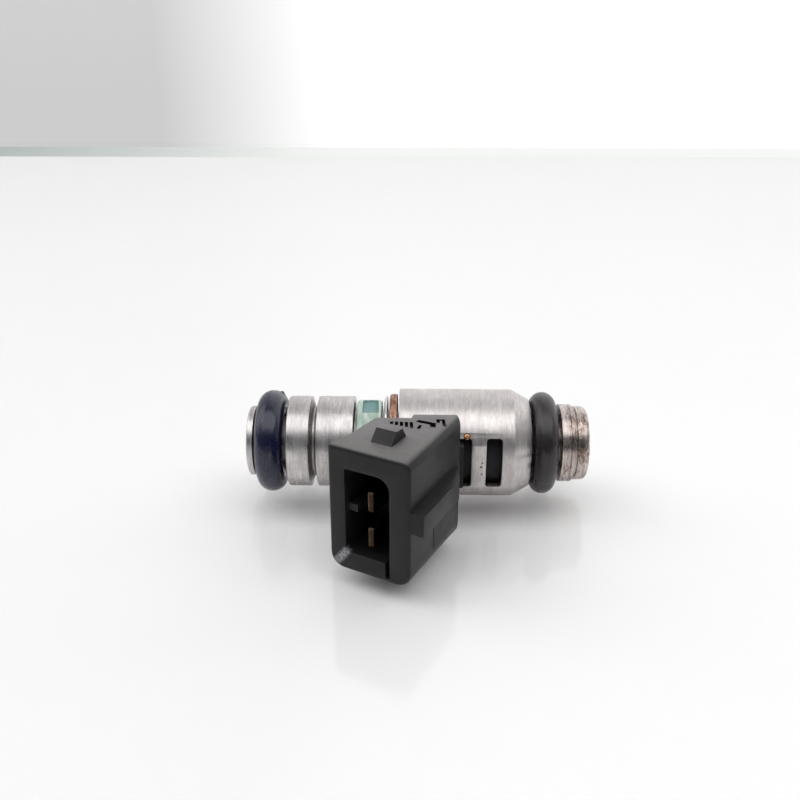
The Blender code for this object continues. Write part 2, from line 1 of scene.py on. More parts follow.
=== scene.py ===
"""Fuel injector: the finished looks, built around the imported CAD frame.

Shapes are written in millimetres along the injector's own axis, as in the CAD source: x runs from the
inlet to the spray end and is 0 at the inlet edge of the can, y and z are measured from the axis, and
r is a radius. The connector has its own frame: u to the right of its mouth, v into it, z up from the axis.
"""

import json
import math

import bmesh
import bpy
from mathutils import Matrix, Vector


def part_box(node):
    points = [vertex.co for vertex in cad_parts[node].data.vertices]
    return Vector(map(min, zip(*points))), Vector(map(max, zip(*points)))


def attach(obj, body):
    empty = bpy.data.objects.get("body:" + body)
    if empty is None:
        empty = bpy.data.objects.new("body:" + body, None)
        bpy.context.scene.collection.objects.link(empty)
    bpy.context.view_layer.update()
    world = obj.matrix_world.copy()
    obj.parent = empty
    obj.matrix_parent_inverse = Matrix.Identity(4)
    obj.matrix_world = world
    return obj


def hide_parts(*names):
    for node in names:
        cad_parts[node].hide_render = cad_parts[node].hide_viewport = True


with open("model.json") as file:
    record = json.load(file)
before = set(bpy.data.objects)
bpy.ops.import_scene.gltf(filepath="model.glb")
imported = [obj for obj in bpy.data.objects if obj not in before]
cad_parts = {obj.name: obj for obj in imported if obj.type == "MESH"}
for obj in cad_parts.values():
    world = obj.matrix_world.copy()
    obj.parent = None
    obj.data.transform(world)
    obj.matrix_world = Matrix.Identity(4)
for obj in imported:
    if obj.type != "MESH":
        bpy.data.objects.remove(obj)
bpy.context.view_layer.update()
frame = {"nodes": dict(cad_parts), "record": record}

MM = 0.001
SAME = 1e-4
BODY = "injector"
STEPS = 144
RING_STEPS = 240
CAN_STEPS = 180

# Angles in degrees between faces from which their edge stays sharp: on turned pieces, and after softening.
SHARP_TURNED = 32.0
SHARP_SOFT = 40.0

can_low, can_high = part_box("outer_can")
AXIS = Vector((can_low.x, (can_low.y + can_high.y) / 2, (can_low.z + can_high.z) / 2))


def span(node):
    """The x range of a CAD node, in millimetres from the can's inlet edge."""
    low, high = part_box(node)
    return (low.x - AXIS.x) / MM, (high.x - AXIS.x) / MM


INLET_END = span("inlet_body")[0]
SPRAY_END = span("nozzle_body")[1]
MARKER = span("marker_ring")
RETAINER = span("retaining_ring")
WASHER = span("flux_washer")
CAN_END = span("outer_can")[1]
CAN_R = (can_high.z - can_low.z) / 2 / MM

# Inlet body, as in the CAD source.
FLANGE_R = 5.0
FLANGE_T = 0.95
RING_GROOVE_R = 3.5
ORING_R = 5.53
ORING_TUBE_R = 1.765
PARTING_DEPTH = 0.015
COLLAR_START = -15.75
COLLAR_R = 6.5
COLLAR_END = -6.4
CLIP_GROOVE = (-12.6, -11.5)
CLIP_GROOVE_R = 5.0
CLIP_GROOVE_SLOPE = 0.4
NECK_R = 4.3
NECK_END = 0.3
CORE_R = 3.6
CORE_STEP = 3.7
POLE_R = 2.6
POLE_FACE = 7.0
FILTER_BORE_R = 2.9
FILTER_BORE_END = -13.0
FUEL_BORE_R = 1.5
RING_BORE_R = 4.6
MARKER_R = 5.95
POCKET_X = (-5.2, -2.85)
POCKET_HALF = 2.3
POCKET_SKEW = 0.25
POCKET_FLOOR = 5.25
RETAINER_R = 6.6
RETAINER_CHAMFER = (0.28, 0.55)
WASHER_R = 6.85
WASHER_ROUND = 0.45

# Can and coil.
CAN_BORE_R = 6.65
CAN_TAPER_START = 15.95
CAN_END_R = 6.27
CAN_FLOOR = 14.9
CAN_MOUTH_R = 5.3
WINDOWS = ((2.9, 10.07), (12.05, 14.25))
WINDOW_HALF = 3.7
WINDOW_CORNER = 0.45
WINDOW_CUT_Y = (-9.0, -5.0)
STRIP_FLAT = 7.15
WIRE_X = 9.36
WIRE_ANGLE = 30.8
WIRE_R = 0.4
OVERMOULD_R = (5.95, 6.35)
OVERMOULD = (0.9, 14.55)

# Pits in the pressed strip: x, z, radius. Nicks on the can's end edge: x, angle, width, height.
STRIP_PITS = ((11.52, 0.2, 0.13), (11.4, -0.4, 0.17), (11.5, -1.5, 0.11))
PIT_DEPTH = 0.3
CAN_NICKS = ((18.3, 12.0, 0.3, -0.14), (18.1, 4.0, 0.26, -0.10), (18.4, -6.0, 0.22, -0.08))
RING_NUB = (-16.9, 113.0, 0.3, 0.35)

# Nozzle.
NOZZLE_TOP = 9.8
NOZZLE_SHOULDER = 13.2
ORING_SHOULDER = 22.7
TIP_R = 5.55
TIP_STEP = 24.5
TIP_END_R = 5.28
TIP_ROUND = 0.9
TIP_GROOVE_START = 23.75
TIP_GROOVE_END = 24.08
TIP_GROOVE_DEPTH = 0.1
TIP_NECK_DEPTH = 0.42
VALVE_BORE_R = 2.7

# Connector.
MOUNT_U = 4.5
MOUTH_LEFT = -5.7
MOUTH_RIGHT = 5.93
SHELL_BOTTOM = -CAN_R
SHELL_TOP = 9.44
SHELL_BACK_Y = -12.7
SHELL_BACK_X = (-3.15, 1.75, 8.1)
SHELL_PAD_Y = -11.6
SHELL_PAD_X = (1.85, 7.6)
SHELL_RIGHT_BEND = (5.63, 6.6)
SHELL_LEFT_BEND = (-5.05, 4.0)
SHELL_LOWER_ROUND = 2.0
SHELL_UPPER_RIGHT_ROUND = 1.2
SHELL_UPPER_LEFT_ROUND = 0.5
SHELL_FRONT_ROUND = 0.45
SOCKET_U = (-3.25, 3.1)
SOCKET_Z = (-4.9, 6.7)
SOCKET_DEPTH = 8.0
SOCKET_CORNER = 0.35
SOCKET_LARGE_CORNER = 1.7
KEY_W = 1.3
KEY_Z = (0.6, 1.6)
KEY_V = (0.9, 8.6)
RIM_GROOVE_U = (2.5, 3.1)
RIM_GROOVE_Z = (-7.0, -4.5)
RIM_GROOVE_DEPTH = 0.9
CREASE_HALF = 0.08
CREASE_DEPTH = 0.09
CREASE_BOTTOM = SHELL_BOTTOM + 2.2
BLADE_PITCH = 5.0
BLADE_W = 2.8
BLADE_T = 0.8
BLADE_TIP = 0.55
BLADE_ROOT = 9.9
BLADE_CHAMFER = (0.4, 0.4)
BLADE_FLANK = 0.27
NECK_X = (3.5, 7.4)
NECK_Y = (-14.0, -7.5)
NECK_PAD_X = (3.5, 8.9)
NECK_PAD_FRONT = -8.2
NECK_HALF = 3.15
RAMP_U = (-1.3, 1.6)
RAMP_V = (3.05, 6.7)
RAMP_CREST_V = (4.4, 5.8)
RAMP_CREST = (10.9, 10.85)
RIB_Z = (0.15, 2.95)
RIB_FRONT = 0.25
RIB_RIGHT = 7.7
RIB_RIGHT_BEND = (7.1, 10.7)
RIB_BACK = (7.95, -13.1)
RIB_ROOT = (4.0, 12.0)
GAP = 0.3
OVERLAP = 0.6

# Marks sunk in the connector's top, as (x, y) beside the axis: a row of strokes, then a bent bar, a short
# bar and a hook, each with its half width.
MARK_DEPTH = 0.5
MARK_HALF = 0.21
MARK_ROW_START = -0.72
MARK_ROW_STEP = 0.62
MARK_ROW_COUNT = 5
MARK_ROW_TOP = -14.05
MARK_ROW_BOTTOM = -14.4
MARKS = (
    (0.36, ((2.85, -13.75), (4.5, -14.5), (4.5, -15.2))),
    (MARK_HALF, ((2.9, -15.1), (2.7, -15.8))),
    (MARK_HALF, ((5.2, -13.9), (5.15, -13.3), (5.85, -13.3), (5.95, -15.0))),
)

mount = next(m for m in frame["record"]["mounts"] if m["name"] == "connector_mouth")
MOUTH_V = -Vector(mount["axis"])
MOUTH_U = MOUTH_V.cross(Vector((0, 0, 1)))
MOUTH = Vector((mount["pos_m"][0], mount["pos_m"][1], AXIS.z)) - MOUTH_U * MOUNT_U * MM


# ---------------------------------------------------------------- shapes


def on_axis(x, y, z):
    return AXIS + Vector((x, y, z)) * MM


def in_mouth(u, v, z):
    return MOUTH + MOUTH_U * u * MM + MOUTH_V * v * MM + Vector((0, 0, z * MM))


def mouth_uv(x, y):
    """(u, v) in the connector's frame of a point (x, y) beside the axis."""
    away = on_axis(x, y, 0) - MOUTH
    return away.dot(MOUTH_U) / MM, away.dot(MOUTH_V) / MM


def new_object(name, mesh, finish=None):
    obj = bpy.data.objects.new(name, mesh)
    bpy.context.scene.collection.objects.link(obj)
    if finish:
        mesh.materials.append(finish)
    return obj


def smooth(mesh, angle=SHARP_TURNED):
    mesh.shade_smooth()
    mesh.set_sharp_from_angle(angle=math.radians(angle))


def rounded(corners, steps=5):
    """An outline whose (x, r, radius) corners are rounded, as (x, r) points."""
    points = []
    count = len(corners)
    for i, (x, r, radius) in enumerate(corners):
        here = Vector((x, r))
        before = Vector(corners[i - 1][:2]) - here
        after = Vector(corners[(i + 1) % count][:2]) - here
        if radius == 0:
            points.append((x, r))
            continue
        half = before.angle(after) / 2
        reach = min(radius / math.tan(half), before.length * 0.49, after.length * 0.49)
        first = here + before.normalized() * reach
        last = here + after.normalized() * reach
        for k in range(steps + 1):
            t = k / steps
            points.append(tuple((1 - t) ** 2 * first + 2 * t * (1 - t) * here + t * t * last))
    return points


def lathe(name, outline, finish=None, steps=STEPS, spots=()):
    """A ring turned about the injector's axis from a closed outline of (x, r) points.

    Each spot is an x, an angle over the -Y side in degrees, a width and a height: a small nub where the
    height is above 0 and a small dent where it is below.
    """
    area = sum(x1 * r2 - x2 * r1 for (x1, r1), (x2, r2) in zip(outline, outline[1:] + outline[:1]))
    if area > 0:
        outline = outline[::-1]
    count = len(outline)
    verts = []
    for k in range(steps):
        turn = 2 * math.pi * k / steps
        for x, r in outline:
            for spot_x, angle, width, height in spots:
                around = math.remainder(turn - math.radians(angle), 2 * math.pi) * r
                r += height * math.exp(-((x - spot_x) ** 2 + around**2) / width**2)
            verts.append(on_axis(x, -r * math.cos(turn), r * math.sin(turn)))
    faces = []
    for k in range(steps):
        here, there = k * count, (k + 1) % steps * count
        for i in range(count):
            j = (i + 1) % count
            faces.append((here + i, here + j, there + j, there + i))
    mesh = bpy.data.meshes.new(name)
    mesh.from_pydata(verts, [], faces)
    smooth(mesh)
    return new_object(name, mesh, finish)


def slab(name, outline, low, high, place, finish=None, rounding=()):
    """A flat outline of (a, b) points given thickness from low to high.

    place(a, b, c) puts a point in the scene. Each rounding is a width, a count of segments and a
    test of an edge's two ends, as (a, b, c), that picks the edges which it rounds.
    """
    bm = bmesh.new()
    lower = [bm.verts.new((a, b, low)) for a, b in outline]
    upper = [bm.verts.new((a, b, high)) for a, b in outline]
    bm.faces.new(lower)
    bm.faces.new(upper)
    count = len(outline)
    for i in range(count):
        j = (i + 1) % count
        bm.faces.new((lower[i], lower[j], upper[j], upper[i]))
    bmesh.ops.recalc_face_normals(bm, faces=bm.faces)
    for width, segments, chosen in rounding:
        edges = [e for e in bm.edges if chosen(*(v.co.copy() for v in e.verts))]
        bmesh.ops.bevel(bm, geom=edges, offset=width, segments=segments, profile=0.5, affect="EDGES")
    for vert in bm.verts:
        vert.co = place(*vert.co)
    if bm.calc_volume(signed=True) < 0:
        bmesh.ops.reverse_faces(bm, faces=bm.faces)
    mesh = bpy.data.meshes.new(name)
    bm.to_mesh(mesh)
    bm.free()
    return new_object(name, in_order(mesh), finish)


def oblong(left, right, bottom, top):
    return [(left, bottom), (right, bottom), (right, top), (left, top)]


def through(p, q):
    """Whether an edge of a slab runs through its thickness."""
    return abs(p.z - q.z) > SAME and (p - q).xy.length < SAME


def rod(name, start, end, radius, sides=24, finish=None):
    """A round bar between two points of the scene, with its radius in millimetres."""
    run = end - start
    bm = bmesh.new()
    bmesh.ops.create_cone(
        bm, cap_ends=True, segments=sides, radius1=radius * MM, radius2=radius * MM, depth=run.length
    )
    turn = run.to_track_quat("Z", "Y").to_matrix().to_4x4()
    bmesh.ops.transform(bm, matrix=Matrix.Translation((start + end) / 2) @ turn, verts=bm.verts)
    mesh = bpy.data.meshes.new(name)
    bm.to_mesh(mesh)
    bm.free()
    return new_object(name, mesh, finish)


def combine(obj, others, operation):
    """Joins other solids to an object, or cuts them from it, and removes them."""
    for other in others:
        modifier = obj.modifiers.new(other.name, "BOOLEAN")
        modifier.operation = operation
        modifier.object = other
        modifier.solver = "EXACT"
    settle(obj)
    for other in others:
        bpy.data.objects.remove(other)


def settle(obj):
    """Replaces an object's modifiers by the mesh that they make."""
    graph = bpy.context.evaluated_depsgraph_get()
    mesh = bpy.data.meshes.new_from_object(obj.evaluated_get(graph))
    obj.modifiers.clear()
    obj.data = in_order(mesh)


def in_order(mesh):
    """The same mesh with its points and faces sorted by place, so that every run makes the same one."""
    points = [tuple(round(c / MM, 5) for c in vert.co) for vert in mesh.vertices]
    order = sorted(range(len(points)), key=points.__getitem__)
    rank = {old: new for new, old in enumerate(order)}
    faces = []
    for face in mesh.polygons:
        loop = [rank[i] for i in face.vertices]
        first = loop.index(min(loop))
        faces.append(loop[first:] + loop[:first])
    made = bpy.data.meshes.new(mesh.name)
    made.from_pydata([mesh.vertices[i].co for i in order], [], sorted(faces))
    for material in mesh.materials:
        made.materials.append(material)
    return made


def soften(obj, width, segments=2, angle=SHARP_SOFT):
    """Rounds every sharp edge by a small width in millimetres."""
    bm = bmesh.new()
    bm.from_mesh(obj.data)
    bmesh.ops.remove_doubles(bm, verts=bm.verts, dist=1e-7)
    bmesh.ops.dissolve_limit(bm, angle_limit=math.radians(0.5), verts=bm.verts, edges=bm.edges)
    bm.to_mesh(obj.data)
    bm.free()
    obj.data = in_order(obj.data)
    modifier = obj.modifiers.new("soften", "BEVEL")
    modifier.width = width * MM
    modifier.segments = segments
    modifier.limit_method = "ANGLE"
    modifier.angle_limit = math.radians(angle)
    modifier.use_clamp_overlap = True
    settle(obj)
    smooth(obj.data, SHARP_SOFT)


def keep(obj, node):
    """Makes an object a finished piece that stands for a CAD node."""
    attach(obj, BODY)
    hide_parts(node)


# ---------------------------------------------------------------- materials


class Finish:
    """A material under construction, with short names for the nodes that it uses."""

    def __init__(self, name):
        self.material = bpy.data.materials.new(name)
        self.material.use_nodes = True
        self.tree = self.material.node_tree
        self.shader = self.tree.nodes["Principled BSDF"]

    def node(self, kind, inputs=(), **settings):
        made = self.tree.nodes.new(kind)
        for key, value in settings.items():
            setattr(made, key, value)
        for key, value in dict(inputs).items():
            if isinstance(value, bpy.types.NodeSocket):
                self.tree.links.new(value, made.inputs[key])
            else:
                made.inputs[key].default_value = value
        return made

    def math(self, operation, a, b=0.0):
        return self.node("ShaderNodeMath", {0: a, 1: b}, operation=operation).outputs[0]

    def vector(self, operation, a, b):
        return self.node("ShaderNodeVectorMath", {0: a, 1: b}, operation=operation).outputs

    def product(self, *factors):
        result = factors[0]
        for factor in factors[1:]:
            result = self.math("MULTIPLY", result, factor)
        return result

    def place(self):
        """Position in millimetres from the injector's axis, along its own x, y and z."""
        point = self.node("ShaderNodeTexCoord").outputs["Object"]
        away = self.vector("SUBTRACT", point, tuple(AXIS))[0]
        return self.vector("MULTIPLY", away, (1 / MM,) * 3)[0]

    def mouth_place(self):
        """Position in millimetres in the connector's frame, as (u, v, z)."""
        point = self.node("ShaderNodeTexCoord").outputs["Object"]
        away = self.vector("SUBTRACT", point, tuple(MOUTH))[0]
        ways = (MOUTH_U, MOUTH_V, Vector((0, 0, 1)))
        return [self.vector("DOT_PRODUCT", away, tuple(way / MM))["Value"] for way in ways]

    def split(self, vector):
        return self.node("ShaderNodeSeparateXYZ", {0: vector}).outputs

    def radius(self, y, z):
        return self.math("SQRT", self.math("ADD", self.product(y, y), self.product(z, z)))

    def turned(self, point, across, around):
        """Coordinates that change fast along the axis and over end faces, and slowly around it."""
        x, y, z = self.split(point)
        depth = self.math("ADD", x, self.product(self.radius(y, z), 0.7))
        runs = {0: self.product(depth, across), 1: self.product(y, around), 2: self.product(z, around)}
        return self.node("ShaderNodeCombineXYZ", runs).outputs[0]

    def noise(self, vector, scale, detail=3.0, roughness=0.55):
        inputs = {"Vector": vector, "Scale": scale, "Detail": detail, "Roughness": roughness}
        return self.node("ShaderNodeTexNoise", inputs).outputs["Fac"]

    def remap(self, value, low, high, to_low, to_high):
        """to_low up to low, to_high from high on, and straight between them."""
        inputs = {"Value": value, "From Min": low, "From Max": high, "To Min": to_low, "To Max": to_high}
        return self.node("ShaderNodeMapRange", inputs).outputs[0]

    def band(self, value, low, high):
        """0 up to low, 1 from high on, and straight between them. Low may be the larger of the two."""
        return self.remap(value, low, high, 0.0, 1.0)

    def mix(self, amount, a, b):
        made = self.node("ShaderNodeMix", {0: amount}, data_type="RGBA")
        for socket, value in ((made.inputs[6], a), (made.inputs[7], b)):
            if isinstance(value, bpy.types.NodeSocket):
                self.tree.links.new(value, socket)
            else:
                socket.default_value = (*value, 1.0)
        return made.outputs[2]

    def bump(self, height, depth):
        """Relief of that depth in millimetres where height goes from 0 to 1, over any relief so far."""
        made = self.node("ShaderNodeBump", {"Height": height, "Strength": 1.0, "Distance": depth * MM})
        before = self.shader.inputs["Normal"].links
        if before:
            self.tree.links.new(before[0].from_socket, made.inputs["Normal"])
        self.tree.links.new(made.outputs[0], self.shader.inputs["Normal"])

    def normal(self):
        return self.node("ShaderNodeNewGeometry").outputs["Normal"]

    def edges(self, radius):
        """1 on convex and concave edges and 0 on open faces."""
        round_normal = self.node("ShaderNodeBevel", {"Radius": radius * MM}, samples=6).outputs[0]
        return self.band(self.vector("DOT_PRODUCT", round_normal, self.normal())["Value"], 0.99, 0.80)

    def corners(self, reach):
        """1 in corners and narrow gaps, 0 in the open, over a reach in millimetres: the ambient occlusion
        that painted shade follows.
        """
        shut = self.node("ShaderNodeAmbientOcclusion", {"Distance": reach * MM}, samples=4)
        return self.band(shut.outputs["AO"], 0.8, 0.35)

    def set(self, **values):
        for key, value in values.items():
            socket = self.shader.inputs[key.replace("_", " ")]
            if isinstance(value, bpy.types.NodeSocket):
                self.tree.links.new(value, socket)
            elif isinstance(value, tuple) and len(value) == 3 and socket.type == "RGBA":
                socket.default_value = (*value, 1.0)
            else:
                socket.default_value = value
        return self


# Painted shade, for the corners and grooves of turned steel.
CORNER_SHADE = (0.045, 0.036, 0.034)
# Painted sheen and dust, for the top faces of plastic.
DUST_AND_SHEEN = (0.26, 0.245, 0.24)
SCUFF = (0.52, 0.52, 0.56)


def turned_steel(name, dark, light, stain=None, stain_amount=0.0, roughness=0.3, lines=1.0, corner_shade=0.5):
    """Turned or drawn steel: fine rings around the axis, uneven tone, painted shade in the corners and
    stains.
    """
    f = Finish(name)
    point = f.place()
    fine = f.noise(f.turned(point, 11.0, 0.55), 1.0, 4.0, 0.75)
    broad = f.noise(f.turned(point, 2.2, 0.25), 1.0, 3.0, 0.6)
    cloud = f.noise(point, 0.45, 4.0, 0.6)
    speck = f.noise(f.turned(point, 4.0, 2.2), 1.0, 3.0, 0.65)
    rings = f.math("ADD", f.product(fine, 0.7), f.product(broad, 0.3))
    colour = f.mix(f.band(rings, 0.36, 0.62), dark, light)
    colour = f.mix(f.remap(cloud, 0.35, 0.7, 0.0, 0.28), colour, tuple(0.72 * c for c in dark))
    scratch = f.band(f.product(fine, speck), 0.345, 0.40)
    colour = f.mix(f.product(scratch, 0.55), colour, tuple(0.22 * c for c in dark))
    # Painted shade: the colour goes dark where ambient occlusion finds corners and narrow gaps.
    colour = f.mix(f.product(f.corners(0.5), corner_shade), colour, CORNER_SHADE)
    if stain:
        banded = f.noise(f.turned(point, 1.6, 0.45), 1.0, 4.0, 0.6)
        patch = f.product(f.band(banded, 0.46, 0.58), f.band(speck, 0.3, 0.6))
        colour = f.mix(f.product(patch, stain_amount), colour, stain)
    f.set(Base_Color=colour, Metallic=1.0, Anisotropic=0.5)
    f.set(Roughness=f.remap(f.math("ADD", rings, cloud), 0.7, 1.3, roughness - 0.07, roughness + 0.09))
    tangent = f.node("ShaderNodeTangent", direction_type="RADIAL", axis="X")
    f.set(Tangent=tangent.outputs[0])
    f.bump(fine, 0.016 * lines)
    f.bump(broad, 0.02 * lines)
    return f


def plain_steel(name, colour, roughness):
    """Ground steel on the small inner pieces."""
    f = Finish(name)
    point = f.place()
    fine = f.noise(f.turned(point, 12.0, 0.6), 1.0, 2.0)
    cloud = f.noise(point, 1.2, 3.0)
    f.set(Base_Color=f.mix(f.band(cloud, 0.3, 0.7), tuple(0.8 * c for c in colour), colour), Metallic=1.0)
    f.set(Roughness=f.remap(fine, 0.3, 0.7, roughness - 0.06, roughness + 0.08))
    f.bump(fine, 0.008)
    return f


def rubber(name, colour, roughness):
    """Moulded rubber with faint bloom, dust and rub marks around the ring."""
    f = Finish(name)
    point = f.place()
    cloud = f.noise(point, 0.8, 4.0, 0.6)
    grain = f.noise(point, 9.0, 3.0, 0.6)
    rub = f.noise(f.turned(point, 1.5, 0.3), 1.0, 3.0)
    bloom = tuple(0.9 * c + 0.02 for c in colour)
    f.set(Base_Color=f.mix(f.remap(cloud, 0.4, 0.75, 0.0, 0.5), colour, bloom))
    f.set(Roughness=f.remap(f.math("ADD", rub, cloud), 0.7, 1.3, roughness - 0.06, roughness + 0.12))
    f.set(Specular_IOR_Level=0.55)
    f.bump(grain, 0.006)
    f.bump(rub, 0.02)
    return f


def scuffed(f, base, start, end, half):
    """The base colour with a pale rough scuff on the connector's front, from start to end as (u, z)."""
    u, v, z = f.mouth_place()
    run = Vector(end) - Vector(start)
    way = run.normalized()
    from_u, from_z = f.math("SUBTRACT", u, start[0]), f.math("SUBTRACT", z, start[1])
    along = f.math("ADD", f.product(from_u, way.x), f.product(from_z, way.y))
    beside = f.math("SUBTRACT", f.product(from_u, way.y), f.product(from_z, way.x))
    from_middle = f.math("ABSOLUTE", f.math("SUBTRACT", along, run.length / 2))
    ends = f.band(from_middle, run.length / 2, run.length / 2 - 0.4)
    flanks = f.band(f.math("ABSOLUTE", beside), half, half * 0.4)
    near = f.band(v, 0.9, 0.3)
    rough = f.band(f.noise(f.place(), 3.5, 5.0, 0.8), 0.38, 0.56)
    amount = f.product(ends, flanks, near, rough)
    f.bump(amount, 0.05)
    return f.mix(f.product(amount, 0.85), base, SCUFF)


# In plastic, dust weighs the painted sheen and dust on the faces near the top.
def plastic(name, colour, roughness, dust=0.0, scuffs=()):
    """Moulded plastic: fine texture, uneven sheen, rubbed edges, painted shade in hollows, painted sheen
    and dust on top and scuffs.

    Each scuff is a start and an end, as (u, z) on the connector's mouth, and a half width.
    """
    f = Finish(name)
    point = f.place()
    cloud = f.noise(point, 0.5, 4.0, 0.6)
    grain = f.noise(point, 14.0, 2.0, 0.5)
    patch = f.noise(point, 2.4, 5.0, 0.7)
    base = f.mix(f.remap(cloud, 0.35, 0.7, 0.0, 0.5), colour, tuple(1.6 * c for c in colour))
    worn = f.product(f.edges(0.22), f.band(patch, 0.42, 0.62))
    base = f.mix(f.product(worn, 0.5), base, tuple(c + 0.035 for c in colour))
    # Painted sheen and dust: faces near the top that face up are painted lighter, a little unevenly.
    height = f.split(point)[2]
    open_top = f.band(height, SHELL_TOP - 2.0, SHELL_TOP - 1.0)
    facing_up = f.band(f.split(f.normal())[2], 0.75, 0.98)
    top_sheen_and_dust = f.product(facing_up, f.remap(patch, 0.3, 0.7, 0.7, 1.0), open_top)
    base = f.mix(f.product(top_sheen_and_dust, dust), base, DUST_AND_SHEEN)
    # Painted shade: darker where ambient occlusion finds hollows and gaps.
    base = f.mix(f.product(f.corners(4.0), 0.7), base, tuple(0.2 * c for c in colour))
    for scuff in scuffs:
        base = scuffed(f, base, *scuff)
    f.set(Base_Color=base, Specular_IOR_Level=0.24)
    f.set(Roughness=f.remap(f.math("ADD", cloud, patch), 0.7, 1.3, roughness - 0.07, roughness + 0.08))
    f.bump(grain, 0.01)
    return f


def blade_brass():
    """Dark tarnished brass, with a painted highlight on the flanks that face left."""
    tarnish = (0.05, 0.03, 0.022)
    f = plain_steel("terminal_brass", tarnish, 0.34)
    leftward = f.vector("DOT_PRODUCT", f.normal(), tuple(-MOUTH_U))["Value"]
    dark = f.shader.inputs["Base Color"].links[0].from_socket
    # Painted highlight: faces turned to the left are painted bright brass.
    f.set(Base_Color=f.mix(f.band(leftward, 0.25, 0.6), dark, (0.62, 0.44, 0.33)))
    return f


can_steel = turned_steel("can_steel", (0.44, 0.41, 0.40), (0.74, 0.70, 0.69), roughness=0.33, lines=1.2)
inlet_steel = turned_steel(
    "inlet_steel", (0.40, 0.375, 0.37), (0.76, 0.73, 0.725), roughness=0.30, lines=1.6, corner_shade=0.85
)
nozzle_steel = turned_steel(
    "nozzle_steel",
    (0.34, 0.285, 0.26),
    (0.74, 0.66, 0.62),
    (0.13, 0.065, 0.04),
    0.85,
    roughness=0.25,
    lines=0.8,
    corner_shade=0.8,
)
bright_steel = turned_steel(
    "bright_steel", (0.62, 0.60, 0.59), (0.80, 0.78, 0.77), roughness=0.24, lines=0.5
)
copper_plate = turned_steel(
    "copper_plate",
    (0.26, 0.13, 0.085),
    (0.56, 0.34, 0.25),
    (0.12, 0.05, 0.03),
    0.9,
    roughness=0.42,
    lines=1.2,
    corner_shade=0.8,
)
inner_steel = plain_steel("inner_steel", (0.55, 0.55, 0.56), 0.38)
ball_steel = plain_steel("ball_steel", (0.74, 0.74, 0.75), 0.12)
spring_steel = plain_steel("spring_steel", (0.48, 0.48, 0.50), 0.30)
copper_wire = plain_steel("copper_wire", (0.78, 0.36, 0.17), 0.34)
terminal_brass = blade_brass()
blue_rubber = rubber("blue_rubber", (0.006, 0.008, 0.032), 0.22)
black_rubber = rubber("black_rubber", (0.016, 0.012, 0.014), 0.30)
# Its dust of 0.6 paints the connector's top lighter: painted sheen and dust.
black_plastic = plastic(
    "black_plastic", (0.0115, 0.011, 0.0118), 0.37, dust=0.6, scuffs=[((-4.9, -7.1), (-2.9, -4.5), 0.7)]
)
coil_plastic = plastic("coil_plastic", (0.008, 0.007, 0.009), 0.45)
bobbin_plastic = plastic("bobbin_plastic", (0.11, 0.11, 0.10), 0.5)
filter_plastic = plastic("filter_plastic", (0.52, 0.47, 0.32), 0.5)


def mint():
    """Pale translucent mint plastic with rub marks, and painted shade, a darker teal, on the thin floor of
    its pocket.
    """
    f = Finish("mint_plastic")
    point = f.place()
    y, z = f.split(point)[1:]
    cloud = f.noise(point, 1.1, 4.0, 0.6)
    rub = f.noise(f.turned(point, 1.2, 0.35), 1.0, 4.0, 0.65)
    depth = f.math("SUBTRACT", MARKER_R, f.radius(y, z))
    colour = f.mix(f.band(cloud, 0.3, 0.7), (0.34, 0.47, 0.39), (0.46, 0.58, 0.50))
    colour = f.mix(f.band(rub, 0.5, 0.68), colour, (0.70, 0.74, 0.70))
    # Painted shade: the pocket's floor, below the ring's outside, is painted darker teal.
    colour = f.mix(f.band(depth, 0.16, 0.22), colour, (0.10, 0.24, 0.23))
    f.set(Base_Color=colour, Subsurface_Weight=0.25, Subsurface_Scale=0.8 * MM)
    f.set(Subsurface_Radius=(0.6, 1.0, 0.85))
    f.set(Roughness=f.remap(rub, 0.3, 0.7, 0.25, 0.42))
    f.bump(f.noise(point, 6.0, 3.0), 0.012)
    f.bump(rub, 0.02)
    return f


def woven_mesh():
    """The filter's fine woven screen."""
    f = Finish("filter_screen")
    x, y, z = f.split(f.place())
    turn = f.math("ARCTAN2", z, y)
    warp = f.math("SINE", f.product(x, 40.0))
    weft = f.math("SINE", f.product(turn, 90.0))
    weave = f.band(f.math("MAXIMUM", warp, weft), 0.2, 0.9)
    f.set(Base_Color=f.mix(weave, (0.16, 0.15, 0.12), (0.70, 0.68, 0.60)), Roughness=0.55)
    f.bump(weave, 0.03)
    return f


mint_plastic = mint()
filter_screen = woven_mesh()


# ---------------------------------------------------------------- inlet end


def inlet_piece():
    flange_end = INLET_END + FLANGE_T
    groove_start, groove_end = CLIP_GROOVE
    corners = [
        (INLET_END, FILTER_BORE_R, 0.12),
        (INLET_END, FLANGE_R, 0.38),
        (flange_end, FLANGE_R, 0.12),
        (flange_end, RING_GROOVE_R, 0.15),
        (COLLAR_START, RING_GROOVE_R, 0.15),
        (COLLAR_START, COLLAR_R, 0.28),
        (groove_start, COLLAR_R, 0.07),
        (groove_start + CLIP_GROOVE_SLOPE, CLIP_GROOVE_R, 0.06),
        (groove_end - CLIP_GROOVE_SLOPE, CLIP_GROOVE_R, 0.06),
        (groove_end, COLLAR_R, 0.07),
        (COLLAR_END, COLLAR_R, 0.12),
        (COLLAR_END, NECK_R, 0.1),
        (NECK_END, NECK_R, 0.1),
        (NECK_END, CORE_R, 0),
        (CORE_STEP, CORE_R, 0),
        (CORE_STEP, POLE_R, 0),
        (POLE_FACE, POLE_R, 0.1),
        (POLE_FACE, FUEL_BORE_R, 0.1),
        (FILTER_BORE_END, FUEL_BORE_R, 0.1),
        (FILTER_BORE_END, FILTER_BORE_R, 0.1),
    ]
    obj = lathe("inlet_turned_body", rounded(corners), inlet_steel.material)
    keep(obj, "inlet_body")


